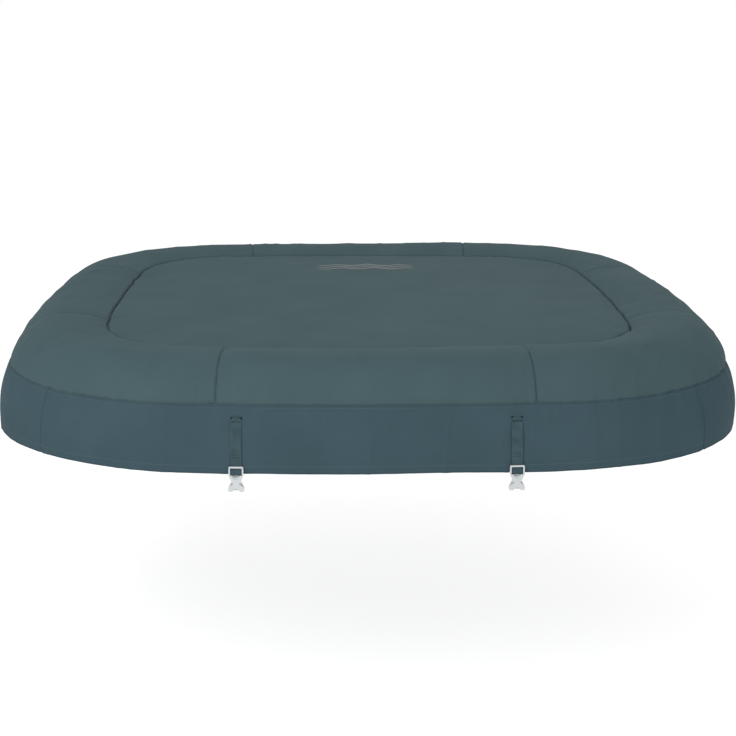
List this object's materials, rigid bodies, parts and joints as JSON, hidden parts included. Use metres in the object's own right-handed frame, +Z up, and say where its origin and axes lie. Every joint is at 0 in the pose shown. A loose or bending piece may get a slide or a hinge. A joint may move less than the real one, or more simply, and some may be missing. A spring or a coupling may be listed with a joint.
{
  "type": "spa cover",
  "caption": "Rounded-square fabric cover with a puffed ring, a hanging skirt, buckle straps and an inflatable lid inside.",
  "frame": {"origin": "middle of the flat lining's underside, which rests on the spa's rim and is level with the outer seam", "axes": "+Z up; -Y towards the front side, the one opposite the zip; +X to the right seen from the front"},
  "size_m": [2.0484, 2.0484, 0.3065],
  "materials": {
    "top_fabric": "satin",
    "skirt_fabric": "satin",
    "lining_foil": "satin",
    "webbing": "matte",
    "backing_fabric": "matte",
    "buckle_plastic": "satin",
    "zip_tape_fabric": "matte",
    "zip_plastic": "satin",
    "zip_metal": "satin",
    "lid_film": "satin",
    "valve_plastic": "satin"
  },
  "bodies": {
    "cover": {"centre_panel": "top_fabric", "ring_panel_front": "top_fabric", "ring_panel_right": "top_fabric", "ring_panel_back": "top_fabric", "ring_panel_left": "top_fabric", "ring_corner_front_right": "top_fabric", "ring_corner_back_right": "top_fabric", "ring_corner_back_left": "top_fabric", "ring_corner_front_left": "top_fabric", "skirt_panel_front": "skirt_fabric", "skirt_panel_right": "skirt_fabric", "skirt_panel_back": "skirt_fabric", "skirt_panel_left": "skirt_fabric", "hem_turned_edge": "skirt_fabric", "lining_sheet": "lining_foil", "zip_tapes": "zip_tape_fabric", "zip_teeth": "zip_plastic", "zip_end_stops": "zip_plastic", "lid_top_film": "lid_film", "lid_bottom_film": "lid_film", "lid_tension_beams": "lid_film", "lid_valve_body": "valve_plastic", "strap_sewn_tabs": "webbing", "strap_backing_patches": "backing_fabric"},
    "strap_front_a": {"strap_front_a": "webbing"},
    "buckle_front_a": {"web_loop_front_a": "webbing", "buckle_front_a": "buckle_plastic"},
    "strap_front_b": {"strap_front_b": "webbing"},
    "buckle_front_b": {"web_loop_front_b": "webbing", "buckle_front_b": "buckle_plastic"},
    "strap_right_a": {"strap_right_a": "webbing"},
    "buckle_right_a": {"web_loop_right_a": "webbing", "buckle_right_a": "buckle_plastic"},
    "strap_right_b": {"strap_right_b": "webbing"},
    "buckle_right_b": {"web_loop_right_b": "webbing", "buckle_right_b": "buckle_plastic"},
    "strap_back_a": {"strap_back_a": "webbing"},
    "buckle_back_a": {"web_loop_back_a": "webbing", "buckle_back_a": "buckle_plastic"},
    "strap_back_b": {"strap_back_b": "webbing"},
    "buckle_back_b": {"web_loop_back_b": "webbing", "buckle_back_b": "buckle_plastic"},
    "strap_left_a": {"strap_left_a": "webbing"},
    "buckle_left_a": {"web_loop_left_a": "webbing", "buckle_left_a": "buckle_plastic"},
    "strap_left_b": {"strap_left_b": "webbing"},
    "buckle_left_b": {"web_loop_left_b": "webbing", "buckle_left_b": "buckle_plastic"},
    "zip_slider": {"zip_slider": "zip_metal"},
    "zip_pull": {"zip_pull": "zip_metal"},
    "valve_plug": {"lid_valve_plug": "valve_plastic"}
  },
  "joints": [
    {"name": "strap_swing_front_a", "type": "hinge", "parent": "cover", "child": "strap_front_a", "pos_m": [-0.33515, -1.00064, -0.04], "axis": [-0.9984, 0.057, 0], "range_deg": [0, 110]},
    {"name": "buckle_swing_front_a", "type": "hinge", "parent": "strap_front_a", "child": "buckle_front_a", "pos_m": [-0.33607, -1.01666, -0.1375], "axis": [-0.9984, 0.057, 0], "range_deg": [0, 100]},
    {"name": "strap_swing_front_b", "type": "hinge", "parent": "cover", "child": "strap_front_b", "pos_m": [0.33515, -1.00064, -0.04], "axis": [-0.9984, -0.057, 0], "range_deg": [0, 110]},
    {"name": "buckle_swing_front_b", "type": "hinge", "parent": "strap_front_b", "child": "buckle_front_b", "pos_m": [0.33607, -1.01666, -0.1375], "axis": [-0.9984, -0.057, 0], "range_deg": [0, 100]},
    {"name": "strap_swing_right_a", "type": "hinge", "parent": "cover", "child": "strap_right_a", "pos_m": [1.00064, -0.33515, -0.04], "axis": [-0.057, -0.9984, 0], "range_deg": [0, 110]},
    {"name": "buckle_swing_right_a", "type": "hinge", "parent": "strap_right_a", "child": "buckle_right_a", "pos_m": [1.01666, -0.33607, -0.1375], "axis": [-0.057, -0.9984, 0], "range_deg": [0, 100]},
    {"name": "strap_swing_right_b", "type": "hinge", "parent": "cover", "child": "strap_right_b", "pos_m": [1.00064, 0.33515, -0.04], "axis": [0.057, -0.9984, 0], "range_deg": [0, 110]},
    {"name": "buckle_swing_right_b", "type": "hinge", "parent": "strap_right_b", "child": "buckle_right_b", "pos_m": [1.01666, 0.33607, -0.1375], "axis": [0.057, -0.9984, 0], "range_deg": [0, 100]},
    {"name": "strap_swing_back_a", "type": "hinge", "parent": "cover", "child": "strap_back_a", "pos_m": [0.33515, 1.00064, -0.04], "axis": [0.9984, -0.057, 0], "range_deg": [0, 110]},
    {"name": "buckle_swing_back_a", "type": "hinge", "parent": "strap_back_a", "child": "buckle_back_a", "pos_m": [0.33607, 1.01666, -0.1375], "axis": [0.9984, -0.057, 0], "range_deg": [0, 100]},
    {"name": "strap_swing_back_b", "type": "hinge", "parent": "cover", "child": "strap_back_b", "pos_m": [-0.33515, 1.00064, -0.04], "axis": [0.9984, 0.057, 0], "range_deg": [0, 110]},
    {"name": "buckle_swing_back_b", "type": "hinge", "parent": "strap_back_b", "child": "buckle_back_b", "pos_m": [-0.33607, 1.01666, -0.1375], "axis": [0.9984, 0.057, 0], "range_deg": [0, 100]},
    {"name": "strap_swing_left_a", "type": "hinge", "parent": "cover", "child": "strap_left_a", "pos_m": [-1.00064, 0.33515, -0.04], "axis": [0.057, 0.9984, 0], "range_deg": [0, 110]},
    {"name": "buckle_swing_left_a", "type": "hinge", "parent": "strap_left_a", "child": "buckle_left_a", "pos_m": [-1.01666, 0.33607, -0.1375], "axis": [0.057, 0.9984, 0], "range_deg": [0, 100]},
    {"name": "strap_swing_left_b", "type": "hinge", "parent": "cover", "child": "strap_left_b", "pos_m": [-1.00064, -0.33515, -0.04], "axis": [-0.057, 0.9984, 0], "range_deg": [0, 110]},
    {"name": "buckle_swing_left_b", "type": "hinge", "parent": "strap_left_b", "child": "buckle_left_b", "pos_m": [-1.01666, -0.33607, -0.1375], "axis": [-0.057, 0.9984, 0], "range_deg": [0, 100]},
    {"name": "zip_slide", "type": "slide", "parent": "cover", "child": "zip_slider", "axis": [-1, 0, 0], "range_m": [0, 1]},
    {"name": "zip_pull_swing", "type": "hinge", "parent": "zip_slider", "child": "zip_pull", "pos_m": [0.5, 0.8, -0.0021], "axis": [0, 1, 0], "range_deg": [-75, 75]},
    {"name": "valve_plug_pull", "type": "slide", "parent": "cover", "child": "valve_plug", "axis": [0, 0, -1], "range_m": [0, 0.02]}
  ]
}
